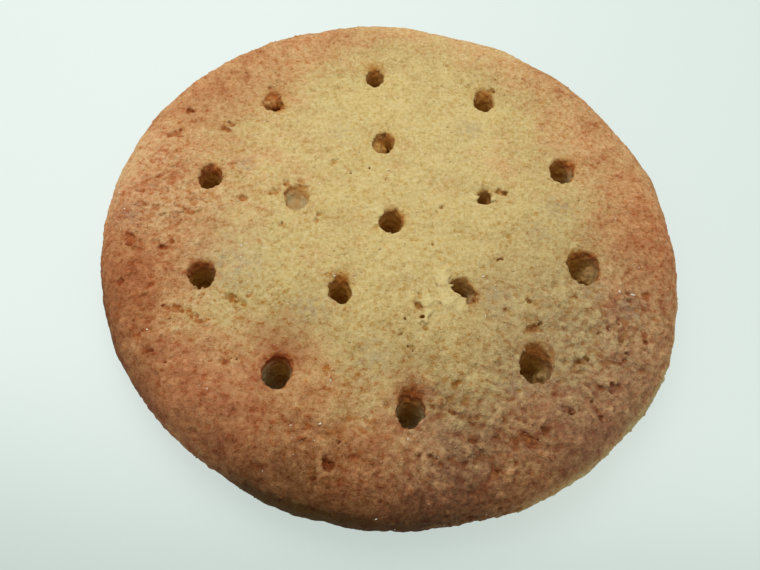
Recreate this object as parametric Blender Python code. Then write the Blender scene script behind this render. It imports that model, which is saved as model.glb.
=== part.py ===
"""A whole wheat cracker: one round baked slab with a rounded rim and docker holes.

Blender 4.5, metres, +Z up. The origin is the middle of the flat underside.

The top is a square grid squeezed into the round outline. Its edge is drawn out ring by
ring over the shoulder, round the rim and under to the flat underside. The crust's relief
moves the skin in and out, and the docker holes and the larger pores are cut out of it.
"""
import math

import bmesh
import bpy
from mathutils import Matrix, Vector, noise

MM = 0.001

# Driving dimensions
DIAMETER = 70.0 * MM
THICKNESS = 7.5 * MM
CROWN = 0.25 * MM           # how far the middle of the top stands over its edge
SHOULDER = 4.2 * MM         # how far in from the edge the top starts to turn down
WIDEST_HEIGHT = 3.0 * MM    # the height at which the rim is fullest
TUCK = 1.8 * MM             # how far the underside's edge lies inside the rim
SHOULDER_POWER = 2.2        # 2 is an elliptical shoulder, more is squarer

# The mesh
TOP_CELLS = 42              # cells across the round grid, so its edge has four times as many
TOP_EDGE_ANGLE = 76.0       # degrees up the shoulder's curve where the grid ends
SHOULDER_ANGLES = (62.0, 48.0, 34.0, 20.0, 8.0, -4.0)
TUCK_ANGLES = (-26.0, -50.0, -72.0, -90.0)
HOLE_SIDES = 14

# Slow swellings and hollows of the outline: angle and half-width in degrees, size in metres
RIM_SWELLS = (
    (-26.0, 9.0, 0.38 * MM),
    (-52.0, 8.0, 0.12 * MM),
    (-70.0, 7.0, -0.28 * MM),
    (-103.0, 7.0, 0.24 * MM),
    (-125.0, 12.0, -0.08 * MM),
    (-177.0, 10.0, -0.16 * MM),
    (-3.0, 4.0, -0.18 * MM),
    (11.0, 6.0, -0.24 * MM),
    (26.0, 5.0, 0.20 * MM),
    (57.0, 6.0, 0.17 * MM),
    (72.0, 4.0, 0.20 * MM),
    (85.0, 5.0, -0.22 * MM),
    (116.0, 4.0, -0.28 * MM),
    (128.0, 5.0, 0.17 * MM),
    (155.0, 12.0, 0.16 * MM),
)

# The docker's two rings of pins: radius, pins, and the first pin's angle in degrees.
# The rings' middle lies a little off the slab's.
DOCKER_MIDDLE = Vector((-0.74 * MM, -0.33 * MM))
DOCKER_RINGS = {
    "outer": (23.3 * MM, 10, 102.6),
    "inner": (11.8 * MM, 5, 102.6),
    "centre": (0.0, 1, 0.0),
}

# Each hole: ring, place clockwise on it, drift in X and Y, mouth width and depth, in mm
DOCKER_HOLES = (
    ("outer", 0, -0.4, -0.7, 2.3, 5.2),
    ("outer", 1, 0.1, -0.3, 2.6, 4.8),
    ("outer", 2, 0.0, -0.3, 3.1, 5.0),
    ("outer", 3, -0.1, 0.0, 3.9, 3.9),
    ("outer", 4, 0.4, -0.5, 3.6, 5.0),
    ("outer", 5, 0.0, -0.7, 2.9, 5.4),
    ("outer", 6, -0.1, -0.1, 3.2, 5.4),
    ("outer", 7, 0.1, 0.3, 3.0, 4.8),
    ("outer", 8, 0.7, -0.6, 2.7, 4.6),
    ("outer", 9, -0.4, -0.1, 2.4, 3.0),
    ("inner", 0, -0.2, -0.3, 2.7, 5.2),
    ("inner", 1, 0.5, -0.4, 1.9, 4.6),
    ("inner", 2, 0.0, -0.2, 2.7, 3.8),
    ("inner", 3, 0.2, 0.0, 2.5, 5.0),
    ("inner", 4, 0.0, -0.3, 3.0, 1.1),
    ("centre", 0, -0.2, -0.35, 2.9, 5.2),
)
HOLE_TAPER = 0.62           # floor width over mouth width
HOLE_FLOOR_EDGE = 0.84      # where the wall starts to round into the floor, as a share of depth
LIP_RAMP = 0.45 * MM        # how far the mouth is drawn back on the side away from the front
DIMPLE_DEPTH = 0.22 * MM    # the skin's soft sag round a hole
DIMPLE_RADIUS = 2.6 * MM

# Larger pores: middle X and Y, length, width and depth in mm, and the length's angle in degrees
PORES = (
    (-3.1, -30.4, 1.9, 1.1, 0.9, 95.0),
    (-30.0, -8.6, 1.7, 1.2, 0.7, 70.0),
    (-25.8, -16.8, 2.0, 0.9, 0.6, 62.0),
    (-29.3, 7.2, 1.2, 0.9, 0.6, 30.0),
    (-22.8, 10.1, 1.0, 0.8, 0.6, 0.0),
    (-9.3, -1.3, 1.3, 0.8, 0.7, 35.0),
    (16.4, -11.4, 1.2, 0.9, 0.6, 10.0),
    (12.3, 6.5, 1.0, 0.8, 0.8, 0.0),
    (10.3, -25.4, 2.4, 1.0, 0.7, 5.0),
    (27.6, -15.6, 2.2, 1.0, 0.7, 75.0),
)

# The crust's relief
BROAD_RELIEF = 0.20 * MM
BROAD_SPACING = 9.0 * MM
FINE_RELIEF = 0.14 * MM
FINE_SPACING = 3.2 * MM
CRAG_RELIEF = 0.34 * MM     # more in the crumbly patches near the front and the right
CRAG_SPACING = 2.4 * MM
CRAG_PATCHES = (
    (24.0 * MM, -13.0 * MM, 8.0 * MM),
    (12.0 * MM, -25.5 * MM, 8.0 * MM),
    (-5.0 * MM, -27.0 * MM, 7.0 * MM),
    (-27.0 * MM, -3.0 * MM, 6.0 * MM),
)
FLAT_BAND = 1.2 * MM        # the relief dies out over this height above the underside

CRUST_COLOUR = (0.46, 0.25, 0.105, 1.0)
CRUST_ROUGHNESS = 0.85


def clear_scene():
    for thing in list(bpy.data.objects):
        bpy.data.objects.remove(thing, do_unlink=True)


def outline_radius(angle):
    """The rim's largest radius at an angle: a circle with slow swellings and hollows."""
    radius = DIAMETER / 2
    for middle, half_width, swell in RIM_SWELLS:
        away = (math.degrees(angle) - middle + 180.0) % 360.0 - 180.0
        radius += swell * math.exp(-((away / half_width) ** 2))
    return radius


def rim_point(degrees):
    """Inset from the outline and height at an angle round the rim's profile.

    90 degrees is where the top starts to turn down, 0 the fullest point, and -90 the
    edge of the flat underside.
    """
    power = 2.0 / SHOULDER_POWER
    turn = math.radians(degrees)
    if degrees >= 0.0:
        inset = SHOULDER * (1.0 - math.cos(turn) ** power)
        height = WIDEST_HEIGHT + (THICKNESS - CROWN - WIDEST_HEIGHT) * math.sin(turn) ** power
    else:
        inset = TUCK * (1.0 - math.cos(turn))
        height = WIDEST_HEIGHT * (1.0 + math.sin(turn))
    return inset, height


def top_height(share):
    """The smooth top's height at a share of the way from its middle to the grid's edge."""
    edge_height = rim_point(TOP_EDGE_ANGLE)[1]
    flat_height = THICKNESS - CROWN * share ** 2
    drop = rim_point(90.0)[1] - edge_height
    return flat_height - drop * share ** 14


def place_on_docker(ring, place, drift_x, drift_y):
    radius, pins, first = DOCKER_RINGS[ring]
    angle = math.radians(first - place * 360.0 / pins)
    spoke = radius * Vector((math.cos(angle), math.sin(angle)))
    return DOCKER_MIDDLE + spoke + Vector((drift_x, drift_y)) * MM


def crag_share(point):
    """1 in the middle of a crumbly patch, falling to 0 away from them all."""
    share = 0.0
    for x, y, reach in CRAG_PATCHES:
        away = math.hypot(point.x - x, point.y - y) / reach
        share = max(share, math.exp(-away ** 2))
    return share


def dimple(point):
    """How far the skin has sagged beside the docker holes."""
    depth = 0.0
    for ring, place, drift_x, drift_y, width, _ in DOCKER_HOLES:
        hole = place_on_docker(ring, place, drift_x, drift_y)
        away = math.hypot(point.x - hole.x, point.y - hole.y) / DIMPLE_RADIUS
        depth += DIMPLE_DEPTH * math.exp(-away ** 2)
    return depth


def relief(point):
    """How far the crust stands out of its smooth form at a point."""
    broad = BROAD_RELIEF * noise.noise(point / BROAD_SPACING)
    fine = FINE_RELIEF * noise.noise(point / FINE_SPACING)
    crag = CRAG_RELIEF * crag_share(point) * noise.noise(point / CRAG_SPACING)
    return broad + fine + crag - dimple(point)


def squeeze_into_round(x, y):
    """Moves a point of the square from -1 to 1 onto the disc of radius 1."""
    if x == 0.0 and y == 0.0:
        return 0.0, 0.0
    if abs(x) > abs(y):
        radius = x
        angle = math.pi / 4 * (y / x)
    else:
        radius = y
        angle = math.pi / 2 - math.pi / 4 * (x / y)
    return radius * math.cos(angle), radius * math.sin(angle)


def make_top(bm):
    """The round grid of the top, out to where the shoulder's rings take over."""
    bmesh.ops.create_grid(bm, x_segments=TOP_CELLS, y_segments=TOP_CELLS, size=1.0)
    edge_inset = rim_point(TOP_EDGE_ANGLE)[0]
    for vert in bm.verts:
        x, y = squeeze_into_round(vert.co.x, vert.co.y)
        share = math.hypot(x, y)
        reach = outline_radius(math.atan2(y, x)) - edge_inset
        vert.co = Vector((x * reach, y * reach, top_height(share)))


def draw_out_rim(bm):
    """Draws the grid's edge out over the shoulder and round the rim, then closes it below."""
    edges = [edge for edge in bm.edges if edge.is_boundary]
    for degrees in SHOULDER_ANGLES + TUCK_ANGLES:
        inset, height = rim_point(degrees)
        drawn = bmesh.ops.extrude_edge_only(bm, edges=edges)["geom"]
        edges = [part for part in drawn if isinstance(part, bmesh.types.BMEdge)]
        for vert in {end for edge in edges for end in edge.verts}:
            angle = math.atan2(vert.co.y, vert.co.x)
            radius = outline_radius(angle) - inset
            vert.co = Vector((radius * math.cos(angle), radius * math.sin(angle), height))
    underside = bmesh.ops.contextual_create(bm, geom=edges)["faces"]
    middle = bmesh.ops.poke(bm, faces=underside)["verts"][0]
    middle.co = Vector((0.0, 0.0, 0.0))


def raise_relief(bm):
    """Moves the skin in and out along its normals, and leaves the underside flat."""
    bm.normal_update()
    moves = {}
    for vert in bm.verts:
        rise = min(vert.co.z / FLAT_BAND, 1.0)
        moves[vert] = vert.normal * relief(vert.co) * rise
    for vert, move in moves.items():
        vert.co += move


def crust_material():
    material = bpy.data.materials.new("crust")
    material.use_nodes = True
    shader = material.node_tree.nodes["Principled BSDF"]
    shader.inputs["Base Color"].default_value = CRUST_COLOUR
    shader.inputs["Roughness"].default_value = CRUST_ROUGHNESS
    shader.inputs["Metallic"].default_value = 0.0
    return material


def add_object(name, bm):
    """Turns a bmesh into a linked object."""
    bmesh.ops.recalc_face_normals(bm, faces=bm.faces)
    mesh = bpy.data.meshes.new(name)
    bm.to_mesh(mesh)
    bm.free()
    thing = bpy.data.objects.new(name, mesh)
    bpy.context.scene.collection.objects.link(thing)
    return thing


def add_loop(bm, middle, radius_x, radius_y, height):
    """A loop of HOLE_SIDES points round a hole's axis."""
    loop = []
    for side in range(HOLE_SIDES):
        angle = 2 * math.pi * side / HOLE_SIDES
        x = middle.x + radius_x * math.cos(angle)
        y = middle.y + radius_y * math.sin(angle)
        loop.append(bm.verts.new((x, y, height)))
    return loop


def add_docker_pin(bm, ring, place, drift_x, drift_y, width, depth):
    """The shape that one docker pin leaves, standing up out of the top."""
    middle = place_on_docker(ring, place, drift_x, drift_y)
    mouth = width * MM / 2
    floor = mouth * HOLE_TAPER
    mouth_height = THICKNESS - DIMPLE_DEPTH
    floor_height = mouth_height - depth * MM
    bend_height = mouth_height - depth * MM * HOLE_FLOOR_EDGE
    bend = mouth * (1.0 - (1.0 - HOLE_TAPER) * 0.45)
    drawn_back = middle + Vector((0.0, LIP_RAMP / 2))
    loops = [
        add_loop(bm, drawn_back, mouth, mouth + LIP_RAMP / 2, THICKNESS + 1.0 * MM),
        add_loop(bm, drawn_back, mouth, mouth + LIP_RAMP / 2, mouth_height - 0.1 * MM),
        add_loop(bm, middle, bend, bend, bend_height),
        add_loop(bm, middle, floor, floor, floor_height),
    ]
    for upper, lower in zip(loops, loops[1:]):
        for side in range(HOLE_SIDES):
            after = (side + 1) % HOLE_SIDES
            bm.faces.new((upper[side], upper[after], lower[after], lower[side]))
    bm.faces.new(loops[0])
    bm.faces.new(loops[-1])


def add_pore(bm, x, y, length, width, depth, turn):
    """A small scooped pore, as an egg half sunk in the skin."""
    radius = math.hypot(x, y) * MM
    inset = outline_radius(math.atan2(y, x)) - radius
    away = max(0.0, 1.0 - inset / SHOULDER)
    drop = (THICKNESS - CROWN - WIDEST_HEIGHT) * (1.0 - (1.0 - away ** SHOULDER_POWER)
                                                   ** (1.0 / SHOULDER_POWER))
    height = THICKNESS - CROWN * min(1.0, radius / (DIAMETER / 2)) ** 2 - drop
    size = Matrix.Diagonal((length / 2 * MM, width / 2 * MM, depth * MM, 1.0))
    facing = Matrix.Rotation(math.radians(turn), 4, "Z")
    place = Matrix.Translation((x * MM, y * MM, height))
    bmesh.ops.create_icosphere(bm, subdivisions=2, radius=1.0, matrix=place @ facing @ size)


def make_cutter():
    """Every docker pin and pore in one hidden object."""
    bm = bmesh.new()
    for hole in DOCKER_HOLES:
        add_docker_pin(bm, *hole)
    for pore in PORES:
        add_pore(bm, *pore)
    cutter = add_object("docker_and_pores", bm)
    cutter.hide_render = True
    cutter.display_type = "WIRE"
    return cutter


def make_cracker():
    bm = bmesh.new()
    make_top(bm)
    draw_out_rim(bm)
    raise_relief(bm)
    cracker = add_object("cracker", bm)
    cracker.data.shade_smooth()
    cracker.data.materials.append(crust_material())
    docking = cracker.modifiers.new("docking", "BOOLEAN")
    docking.operation = "DIFFERENCE"
    docking.object = make_cutter()
    return cracker


clear_scene()
make_cracker()
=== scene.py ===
"""The looks of the whole wheat cracker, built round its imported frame.

The crust is carved out of a fine lattice of depths: the smooth slab, its relief, the docker
holes, the pores, the cracks and the flakes all add to or take from one field, and the skin
is drawn where the field is nought. Crumbs and sugar grains then lie on that skin, and the
material reads from each point of it how brown, red, crumbly and deep the crust is there.
Lengths here are in millimetres until a mesh is made, which is in metres.
"""

import itertools
import math

import bmesh
import bpy
import numpy as np
from mathutils import Matrix, Vector, noise


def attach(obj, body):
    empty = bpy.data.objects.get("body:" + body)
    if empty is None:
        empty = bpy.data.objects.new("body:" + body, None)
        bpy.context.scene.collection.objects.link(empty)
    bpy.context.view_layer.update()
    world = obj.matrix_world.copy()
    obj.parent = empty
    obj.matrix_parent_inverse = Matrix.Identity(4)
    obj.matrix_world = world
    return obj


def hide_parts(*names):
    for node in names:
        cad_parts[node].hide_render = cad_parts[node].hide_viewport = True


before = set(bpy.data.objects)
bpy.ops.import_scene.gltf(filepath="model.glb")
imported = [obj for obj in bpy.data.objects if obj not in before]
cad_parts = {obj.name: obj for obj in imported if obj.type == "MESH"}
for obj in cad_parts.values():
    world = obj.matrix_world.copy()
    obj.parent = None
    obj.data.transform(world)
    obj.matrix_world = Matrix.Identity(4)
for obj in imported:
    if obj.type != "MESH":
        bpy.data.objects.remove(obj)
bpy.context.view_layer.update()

MM = 0.001
SEED = 3

# The slab, as the frame has it, and the height that no flake passes
DIAMETER = 70.0
THICKNESS = 7.5
CROWN = 0.25
SHOULDER = 4.2
WIDEST_HEIGHT = 3.0
TUCK = 1.8
SHOULDER_POWER = 2.2
HIGHEST = 7.76

# Slow swellings and hollows of the outline: angle and half-width in degrees, size in mm
RIM_SWELLS = (
    (-26, 9, 0.38), (-52, 8, 0.12), (-70, 7, -0.28), (-103, 7, 0.24), (-125, 12, -0.08),
    (-177, 10, -0.16), (-3, 4, -0.18), (11, 6, -0.24), (26, 5, 0.2), (57, 6, 0.17), (72, 4, 0.2),
    (85, 5, -0.22), (116, 4, -0.28), (128, 5, 0.17), (155, 12, 0.16),
)

# The docker's rings of pins: radius, pins, first pin's angle in degrees
DOCKER_MIDDLE = (-0.74, -0.33)
DOCKER_RINGS = {"outer": (23.3, 10, 102.6), "inner": (11.8, 5, 102.6), "centre": (0.0, 1, 0.0)}

# Each hole: ring, place clockwise on it, drift in X and Y, mouth width and depth, and then what
# sets it apart: features with their directions in degrees and their sizes in mm
DOCKER_HOLES = (
    ("outer", 0, -0.4, -0.7, 2.3, 5.2, ("ramp", 95, 1), ("bare", -10, 0.5), ("smear", 100, 1.2)),
    ("outer", 1, 0.1, -0.3, 2.6, 4.8, ("ramp", 95, 1.1)),
    ("outer", 2, 0, -0.3, 3.1, 5, ("ramp", 60, 0.8), ("bare", 10, 0.7)),
    ("outer", 3, -0.1, 0, 3.9, 3.9, ("ramp", 110, 0.4), ("fill", 30, 1.5), ("bare", 20, 0.5)),
    ("outer", 4, 0.4, -0.5, 3.6, 5, ("ramp", 90, 1), ("fill", 10, 1.1), ("bare", 0, 0.5)),
    ("outer", 5, 0, -0.7, 2.9, 5.4, ("ramp", 100, 1.3), ("bare", 175, 0.8), ("bare", 15, 0.9)),
    ("outer", 6, -0.1, -0.1, 3.2, 5.4, ("ramp", 95, 0.5), ("bare", 175, 1), ("bare", 5, 0.7)),
    ("outer", 7, 0.1, 0.3, 3, 4.8, ("teeth", -85, 0.5), ("ramp", 100, 0.4), ("bare", 0, 0.9)),
    ("outer", 8, 0.7, -0.6, 2.7, 4.6, ("ramp", 75, 0.7), ("bare", 0, 0.7)),
    ("outer", 9, -0.4, -0.1, 2.4, 3, ("ramp", 95, 0.5), ("ramp", -25, 0.7), ("shelf", 120, 0.4)),
    ("inner", 0, -0.2, -0.3, 2.7, 5.2, ("notch", 95, 0.6), ("ramp", 80, 0.4),
     ("shelf", 170, 0.9)),
    ("inner", 1, 0.5, -0.4, 1.9, 4.6, ("lid", 180, 0.55), ("lid", 10, 0.35)),
    ("inner", 2, 0, -0.2, 2.7, 3.8, ("ramp", -20, 0.9), ("lid", 235, 1), ("lid", 190, 0.9),
     ("lid", 275, 1), ("bare", 0, 0.6)),
    ("inner", 3, 0.2, 0, 2.5, 5, ("ramp", 95, 1.1), ("smear", 95, 1)),
    ("inner", 4, 0, -0.3, 3, 1.1, ("bare", -60, 1), ("bare", 160, 1), ("bare", 20, 1),
     ("ledge", 75, 0.8)),
    ("centre", 0, -0.2, -0.35, 2.9, 5.2, ("lid", 140, 0.6), ("ramp", 60, 0.4)),
)
DIMPLE_DEPTH = 0.22
DIMPLE_RADIUS = 2.6
MOUTH_HEIGHT = THICKNESS - DIMPLE_DEPTH - 0.1
HOLE_TAPER = 0.62
HOLE_FLOOR_ROUNDING = 0.9
LIP_RAMP = 0.45
LIP_ROUNDING = 0.22

# The frame's relief, the band over the foot where it grows to its full size, and the crumbly
# patches where it is strongest: X, Y and reach
BROAD_RELIEF, BROAD_SPACING = 0.20, 9.0
FINE_RELIEF, FINE_SPACING = 0.14, 3.2
CRAG_RELIEF, CRAG_SPACING = 0.34, 2.4
FLAT_BAND = 1.2
CRAG_PATCHES = ((24, -13, 8), (12, -25.5, 8), (-5, -27, 7), (-27, -3, 6))

# The finer crumb, in layers: how high, how far apart and how far drawn out in X. The folded
# layers have sharp creases where their lumps cross nought.
FOLDED_CRUMB = ((0.12, 1.5, 1.2), (0.14, 0.8, 1.0))
FOLD_LEVEL = 0.55
ROUND_CRUMB = ((0.08, 0.42, 1.0),)
GRAIN_LAYERS = ((0.028, 0.75, 1.0), (0.036, 0.40, 1.0))
CREASE_WIDTH, CREASE_DEPTH = 0.10, 0.09
PIT_DEPTH = 0.12

# Where the crust is more crumbly, or less, than its rim and the crags make it: X, Y, reach
# and how much
ROUGH_PATCHES = ((24, -11, 12, 0.35), (8, -25, 11, 0.45), (-19, -21, 12, 0.25), (-6, -25, 9, -0.55))
SMOOTH_RIM = (4, 33, 14)

# Larger pores: middle X and Y, length, width and depth, and the length's angle in degrees
PORES = (
    (-3.1, -30.4, 1.5, 1.1, 0.7, 95), (-30, -8.6, 1.7, 1.2, 0.7, 70),
    (-25.9, -14.8, 2.4, 0.5, 0.4, 78), (16.9, -24.3, 1.7, 1.2, 0.5, -30),
    (11.1, -22.9, 1.3, 0.6, 0.4, 15), (23.9, -20, 2, 0.5, 0.3, -60),
    (-29.3, 7.2, 1.2, 0.9, 0.6, 30), (-22.8, 10.1, 1, 0.8, 0.6, 0),
    (-9.3, -1.3, 1.3, 0.8, 0.7, 35), (16.4, -11.4, 1.2, 0.9, 0.6, 10),
    (12.3, 6.5, 1, 0.8, 0.8, 0), (10.3, -25.4, 2.4, 1, 0.7, 5), (25.8, -17, 1.8, 0.9, 0.5, 5),
    (26.8, -10.7, 1.3, 1, 0.5, 80), (26.6, -13.4, 1.1, 0.8, 0.4, 20),
    (22.3, -14.4, 1.4, 0.7, 0.5, 40), (23.6, -13.6, 1.3, 0.8, 0.5, 5),
    (23.7, -10.5, 1, 0.7, 0.4, 10), (27.4, -5.9, 0.8, 0.7, 0.5, 20),
    (29.8, -5.5, 1.6, 1, 0.4, 80),
)

RANDOM_PORES = 45

# Crisp pale plates of skin: middle X and Y, length, width, and the length's angle in degrees
PLATES = (
    (5.8, -6.8, 2.2, 1.6, 100), (4.5, -10.2, 2.2, 1.3, 80), (2.7, -10, 1.2, 0.8, 100),
    (4.6, -12.3, 1.8, 0.7, 70),
)

# Small pores with sharp lips: middle X and Y, and width
PINHOLES = (
    (9.7, 23.4, 0.8), (-19.4, 17.3, 0.6), (11.5, 6.8, 0.6), (-14, 2.3, 0.7), (4.9, 2.6, 0.5),
    (3.5, -9.6, 0.5), (3.6, -11.1, 0.8), (4.8, -13.7, 0.6), (3.5, -16.3, 0.6), (1.6, -6.2, 0.6),
    (2.5, -12, 0.4), (4.1, -12.4, 0.5), (2.4, -13, 0.4), (8.1, -13, 0.4), (2.2, -14.8, 0.6),
    (12.2, -3.2, 0.4), (4.4, -2.8, 0.4), (-13.4, -3.4, 0.4), (8.7, -19.6, 0.7),
    (-28.3, 11.3, 0.9), (-14.2, -17.2, 0.6),
)

# Shallow places where the skin has flaked off: middle X and Y, and width
SCUFFS = (
    (-23.2, -16.5, 1), (-22.2, -16.3, 1.1), (-21.2, -16.4, 1.2), (-20.4, -16.7, 1),
    (-17, -13.8, 1.2), (-15.9, -14.6, 1.3), (-15.1, -13.5, 1), (-29.5, -14.2, 0.9),
    (-15.7, -21.4, 1.1), (-17.4, -21.2, 1), (-14.2, -20.9, 1.2), (-29.9, -8.9, 0.8),
    (-27, -8.5, 1), (-24.8, -8, 0.8), (13.5, -28, 1.2), (15.5, -19.5, 1), (19.5, -19, 0.8),
    (13.5, -24.7, 0.8), (10.2, -27.8, 0.9), (-5.2, 6.8, 0.6), (-2, 5.4, 0.6), (-6.7, 5.5, 0.6),
    (-9.3, -2.1, 1.2), (-8.4, -1.6, 1.4), (-15.1, 1, 1.2), (-15, 2.6, 1), (-12.3, 2.4, 0.9),
    (-11.4, 2.6, 0.8), (16.1, -8.1, 0.8), (17, -10.8, 1), (18.7, -10.6, 1), (-13.9, 18.1, 0.8),
    (-24, -21.6, 1.4), (-25.3, -19.6, 1.3), (-22.2, -22.5, 1.2), (-20.7, -19.1, 1),
    (-22.3, -17.9, 0.9), (-18.4, -17, 0.8), (4.9, -4.6, 0.8), (6.5, -14.9, 0.8),
    (21.1, -20.5, 0.9), (18.5, -22.9, 0.8),
)

# The shapes of those: length and width for a width of 1, turns, how high the middle is above
# the skin, and how rounded and how ragged the edge is
SPOT_SHAPES = (
    (PINHOLES, 0.65, 0.45, (0.0, 3.1), 0.0, 0.08, 0.12),
    (SCUFFS, 0.6, 0.36, (-0.4, 0.5), 0.22, 0.12, 0.15),
)
SPOT_DEPTH = 0.40

# Wandering cracks, each through its own places in X and Y
CRACKS = (
    ((25.3, -8.4), (25.1, -10.6), (25, -13)), ((26.2, -8.4), (26.2, -9.4)),
    ((25.2, -14.8), (25.5, -16.2)), ((28.5, -6.9), (29.3, -8.9), (29.4, -11)),
    ((23.9, -16.4), (24.6, -17.7), (26, -17)), ((6.2, -22.4), (8.4, -22.8), (11.6, -23.7)),
    ((6.8, -27.8), (7.6, -28.1), (8.5, -28.5)), ((14.8, -24.7), (16.9, -24.9), (18.9, -22.9)),
    ((11, -32.8), (12.6, -32.2)),
)
CRACK_STEP = 0.2
RANDOM_CRACKS = 6

# Patches that are baked otherwise: X, Y, reach, how much darker and how much redder
BAKED_PATCHES = (
    (20.5, -5, 12, 0.3, 0), (18, -9, 9, 0, -0.35), (21.5, -13.5, 5.5, -0.2, -0.6),
    (14.5, -15, 4, 0.14, 0.3), (14.5, -3, 4, 0.1, 0), (28, -3, 4, 0.12, 0.1),
    (4, -20, 9, 0, -0.45), (4, -20.3, 3.4, 0.22, 0.7), (12, -21, 6, 0, -0.35),
    (9.5, -27, 4.5, 0.16, -0.3), (16, -30, 8, -0.04, 0.2), (3, -28, 4, -0.16, 0),
    (-3.5, -21.5, 4, -0.04, 0.1), (-10, -18.5, 3.8, 0.28, 0.55), (-15, -14.5, 5, 0, -0.5),
    (-21, -15.5, 5, -0.2, -0.4), (-17, -23, 9, -0.14, 0.42), (-15.5, -25.5, 5, -0.12, 0.05),
    (-28, -14, 5, 0.1, 0.5), (-20.5, -8, 5, 0.2, 0.45), (-25, -1, 6, 0.05, 0.45),
    (-18, 4, 7, 0.07, 0.5), (-33, 2, 4.5, -0.34, -0.35), (-27, 9, 7, 0.08, 0.1),
    (-18, 18, 8, 0.05, 0.35), (-14, 28, 5, 0.12, 0.3), (2, 33, 14, -0.12, -0.4),
    (17, 15, 5, 0.1, 0.2), (12, 9.5, 5, 0.12, 0.35), (28, 8, 5, 0.1, 0.3), (33, 3, 5, 0.05, 0.5),
    (-9, -4, 4, 0.1, 0.1), (-4, -24, 9, -0.14, 0), (8, -8, 10, -0.1, -0.15),
    (-12, -12, 6, -0.1, 0), (22, -23, 7, 0.12, 0.1), (12, 5, 5, -0.08, 0),
    (-22, -20, 6, -0.08, -0.05), (-9, -30, 7, -0.02, -0.1), (-9, -17, 6, 0.18, 0.1),
    (-6, -26, 6, 0.04, 0.1), (6, -32, 7, 0, 0.35), (-8, -23, 7, -0.03, 0.04),
    (-15.5, -9.5, 4.5, -0.2, 0), (0, -29.5, 5, 0.06, 0), (3, -24, 5, -0.07, 0),
    (15, -27, 6, -0.08, 0), (17, 28, 5, 0.08, 0), (-29, 0, 6, -0.08, -0.05),
    (-22, -23, 5, 0, 0.1), (-25, 15, 6, 0.1, 0.1), (-28, -15, 5, 0.1, 0),
)

# The same for the flank under the shoulder: painted shade under the near shoulder and painted
# light on the lower right flank
FLANK_LIGHT_AND_SHADE = (
    (-2, -35, 20, 0.38, -0.35), (-4, -34, 7, 0.45, -0.25), (-29, -17, 9, 0.42, 0.3),
    (-17, -29, 5, -0.3, 0), (-34.5, 0, 6, -0.25, -0.3), (25, -22, 14, -1.05, -0.9),
    (32, -14, 9, -0.55, -0.4),
)

# How far from the middle the crust begins to brown and redden, and where it has done so
BAKED_RIM = (18.0, 31.0)

# The redder stretches of the rim: X, Y, reach and how much
RUDDY_RIM = ((-30, -4, 14, 0.4), (-16, -30, 12, 0.16))

# Where the crust is flecked more, or less: X, Y, reach and how much
FLECKED_PATCHES = (
    (27, -12, 15, 0.5), (-28, 0, 14, 0.08), (10, -8, 10, 0.16), (-6, 14, 9, -0.14),
    (4, -30, 13, 0.35), (-19, -21, 12, 0.25), (4, 33, 13, -0.4),
)

# Where the crust has a greyish bloom: X, Y, reach and strength
BLOOM_PATCHES = (
    (23, -14, 12, 0.28), (8, -26, 6.5, 0.18), (-19, -9, 5, 0.15), (-17, -24, 8, 0.07),
    (-33, -2, 7, 0.08),
)

# Purplish grey bran under the skin: X, Y and reach
BRAN_PATCHES = (
    (-16.8, -10.1, 2.6), (-8.1, -13.8, 1.8), (-18.6, -9.7, 1.6), (-0.8, -18, 2), (19.3, 5.4, 1.8),
    (7.2, 15.7, 1.8), (-30.7, -5.6, 1.6), (-19.6, 4.2, 1.2), (16.9, 1.6, 1.4), (12.4, -8.6, 2.2),
    (23.6, -5.2, 1.4), (15, -19.2, 1.5), (27.7, -7, 1.8), (-9, 12, 1.6),
)

# The lattice, and the skin's triangles, which are thinned out most on the flat underside
PITCH = 0.18
MARGIN = 1.1
SKIN_TRIANGLES = 192000
UNDERSIDE_THINNING = 4.0

# Crumbs and grains of sugar, and the grains that catch the light where they were seen: X and Y.
# The first of those are the largest.
CRUMB_COUNT = 3400
SUGAR_COUNT = 70
LARGE_GRAINS, LARGE_GRAIN_SIZE = 2, 0.24
SUGAR_SPOTS = (
    (26.4, -5), (28.1, -4.9), (-16.4, 3), (-10.2, 3.2), (-2.3, 6.9), (-31.2, -7.5), (-31.6, -4.8),
    (-17.3, -7.2), (-17, -8.7), (-6.2, -9.1), (-4.4, -21.6), (-0.8, -21.5), (-11.1, -27.7),
    (-4.6, -26.4), (-24.5, -19.3), (-7.5, -27), (15.9, -20.6), (11.2, -10.9), (10.6, -5.9),
    (29.2, -2.3), (-6.6, -29.9), (-4.8, -28.2), (4.4, -26.5), (21.8, 10.1),
)

# The camera, held close over the near side and turned a little
CAMERA_TARGET = (-0.96, -5.09, 0.0)
CAMERA_ELEVATION = 60.3
CAMERA_ROLL = 9.56
CAMERA_DISTANCE = 91.8
SENSOR_WIDTH = 36.0
IMAGE_WIDTH = 760.0
FOCAL_PIXELS = 740.0
CLIP_START = 0.005

# The light: a pale room, brightest over the far left, and one broad lamp there
SKY_STRENGTH = 0.90
SKY_BRIGHTEST = (-0.35, 0.45, 0.82)
SKY_DARKEST_FROM = -0.3
SKY_DARK = (0.36, 0.39, 0.37)
SKY_PALE = (0.95, 1.0, 0.98)
LAMP_PLACE = (-0.045, 0.07, 0.19)
LAMP_SIZE = 0.14
LAMP_POWER = 0.18
LAMP_COLOUR = (1.0, 1.0, 0.98)
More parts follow.
